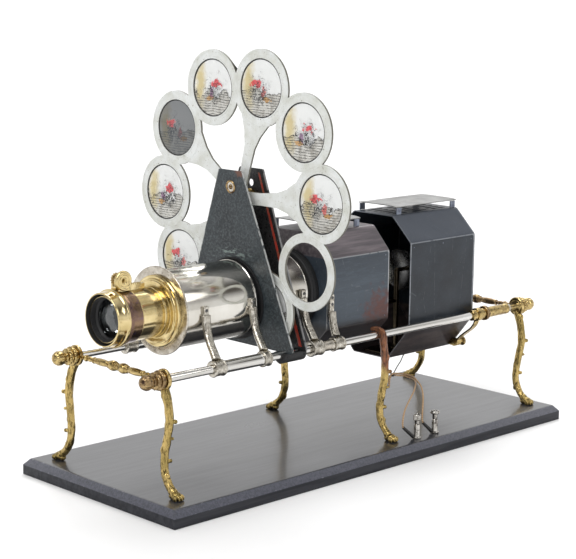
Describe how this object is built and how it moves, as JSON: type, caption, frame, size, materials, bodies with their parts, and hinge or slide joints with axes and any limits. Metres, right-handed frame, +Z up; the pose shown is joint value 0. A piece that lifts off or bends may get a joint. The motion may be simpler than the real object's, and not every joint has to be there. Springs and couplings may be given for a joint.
{
  "type": "magic lantern",
  "caption": "Open bench magic lantern: board, twin rails on twig legs, lens, slide wheel, condenser casing and sliding lamphouse.",
  "frame": {"origin": "under the middle of the whole object, at the underside of the board", "axes": "+X runs from the lens to the lamphouse, -Y is the focus-knob side, +Z is up"},
  "size_m": [0.76, 0.3996, 0.5547],
  "materials": {
    "black_wood": "worn black paint on wood",
    "cast_brass": "cast, tarnished and bark-textured",
    "rust_brass": "cast, dark and rust-brown",
    "bright_steel": "polished rod",
    "turned_brass": "turned, old lacquer",
    "post_nickel": "nickel plate, dull",
    "stage_black": "worn slate-black paint with a red line",
    "dull_black": "matt black",
    "wheel_cream": "pale cream paint, small rust spots",
    "slide_glass": "painted glass slides",
    "nickel": "polished nickel plate",
    "lens_brass": "polished and lacquered",
    "cast_nickel": "cast and nickel plated",
    "lens_glass": "clear ground glass",
    "house_paint": "worn blue-black japanning on sheet metal",
    "cap_metal": "bare sheet, dulled",
    "lamp_brass": "dull",
    "bulb_glass": "frosted",
    "mirror_metal": "polished dish",
    "tan_wire": "aged woven insulation",
    "black_rubber": "rubber sleeve"
  },
  "bodies": {
    "root": {"baseboard": "black_wood", "leg_front_near": "cast_brass", "leg_front_far": "cast_brass", "leg_middle_near": "rust_brass", "leg_middle_far": "rust_brass", "leg_rear_near": "cast_brass", "leg_rear_far": "cast_brass", "rail_near": "bright_steel", "rail_far": "bright_steel", "finials": "turned_brass", "cross_bars": "turned_brass", "binding_post_front": "post_nickel", "binding_post_rear": "post_nickel", "stage_front_plate": "stage_black", "stage_rear_plate": "stage_black", "stage_shoes": "dull_black", "stage_collar": "dull_black", "pivot_screw": "turned_brass", "wheel_stud": "turned_brass", "wire_a": "tan_wire", "wire_b": "tan_wire", "lead_wire": "black_rubber", "wire_fittings": "black_rubber"},
    "slide_wheel": {"slide_wheel": "wheel_cream", "slides": "slide_glass"},
    "lens_carriage": {"lens_tube": "nickel", "lens_flange": "lens_brass", "lens_jacket": "lens_brass", "pinion_box": "lens_brass", "lens_arms_near": "cast_nickel", "lens_arms_far": "cast_nickel", "lens_sleeves": "nickel"},
    "objective": {"objective_barrel": "lens_brass", "lens_hood": "lens_brass", "focus_rack": "lens_brass", "objective_lenses": "lens_glass"},
    "focus_shaft": {"focus_pinion": "turned_brass", "focus_knob": "lens_brass"},
    "condenser_carriage": {"condenser_drum": "nickel", "condenser_collar": "dull_black", "condenser_lenses": "lens_glass", "condenser_arms_near": "cast_nickel", "condenser_arms_far": "cast_nickel", "condenser_sleeves": "nickel", "front_house": "house_paint", "front_house_cap": "cap_metal"},
    "lamphouse": {"rear_house": "house_paint", "rear_house_cap": "cap_metal", "rear_panel": "house_paint", "house_sliders": "turned_brass", "house_brackets": "turned_brass", "lamp_stand": "lamp_brass", "lamp_bulb": "bulb_glass", "reflector": "mirror_metal"},
    "clamp_ring_near": {"clamp_ring_near": "turned_brass"},
    "clamp_ring_far": {"clamp_ring_far": "turned_brass"},
    "thumbscrew_near": {"thumbscrew_near": "lens_brass"},
    "thumbscrew_far": {"thumbscrew_far": "lens_brass"},
    "nut_front": {"binding_nut_front": "post_nickel"},
    "nut_rear": {"binding_nut_rear": "post_nickel"}
  },
  "joints": [
    {"name": "wheel_spin", "type": "hinge", "parent": "root", "child": "slide_wheel", "pos_m": [-0.137, 0, 0.36], "axis": [1, 0, 0], "continuous": true},
    {"name": "lens_slide", "type": "slide", "parent": "root", "child": "lens_carriage", "axis": [1, 0, 0], "range_m": [-0.05, 0]},
    {"name": "focus_slide", "type": "slide", "parent": "lens_carriage", "child": "objective", "axis": [-1, 0, 0], "range_m": [0, 0.024]},
    {"name": "focus_turn", "type": "hinge", "parent": "lens_carriage", "child": "focus_shaft", "pos_m": [-0.342, 0, 0.276], "axis": [0, 1, 0], "range_deg": [-5, 190]},
    {"name": "condenser_slide", "type": "slide", "parent": "root", "child": "condenser_carriage", "axis": [1, 0, 0], "range_m": [-0.01, 0.012]},
    {"name": "lamphouse_slide", "type": "slide", "parent": "root", "child": "lamphouse", "axis": [1, 0, 0], "range_m": [-0.045, 0.018]},
    {"name": "clamp_turn_near", "type": "hinge", "parent": "lamphouse", "child": "clamp_ring_near", "pos_m": [0.267, -0.087, 0.165], "axis": [1, 0, 0], "range_deg": [0, 180]},
    {"name": "clamp_turn_far", "type": "hinge", "parent": "lamphouse", "child": "clamp_ring_far", "pos_m": [0.267, 0.087, 0.165], "axis": [1, 0, 0], "range_deg": [-180, 0]},
    {"name": "thumbscrew_turn_near", "type": "hinge", "parent": "lamphouse", "child": "thumbscrew_near", "pos_m": [0.255, -0.05, 0.118], "axis": [1, 0, 0], "range_deg": [-180, 0]},
    {"name": "thumbscrew_turn_far", "type": "hinge", "parent": "lamphouse", "child": "thumbscrew_far", "pos_m": [0.255, 0.05, 0.118], "axis": [1, 0, 0], "range_deg": [-180, 0]},
    {"name": "nut_turn_front", "type": "hinge", "parent": "root", "child": "nut_front", "pos_m": [0.076, -0.13, 0.045], "axis": [0, 0, 1], "range_deg": [0, 180]},
    {"name": "nut_turn_rear", "type": "hinge", "parent": "root", "child": "nut_rear", "pos_m": [0.115, -0.1285, 0.045], "axis": [0, 0, 1], "range_deg": [0, 180]}
  ],
  "couplings": [
    {"joint": "focus_turn", "follows": "focus_slide", "rad_per_m": 133.33}
  ]
}
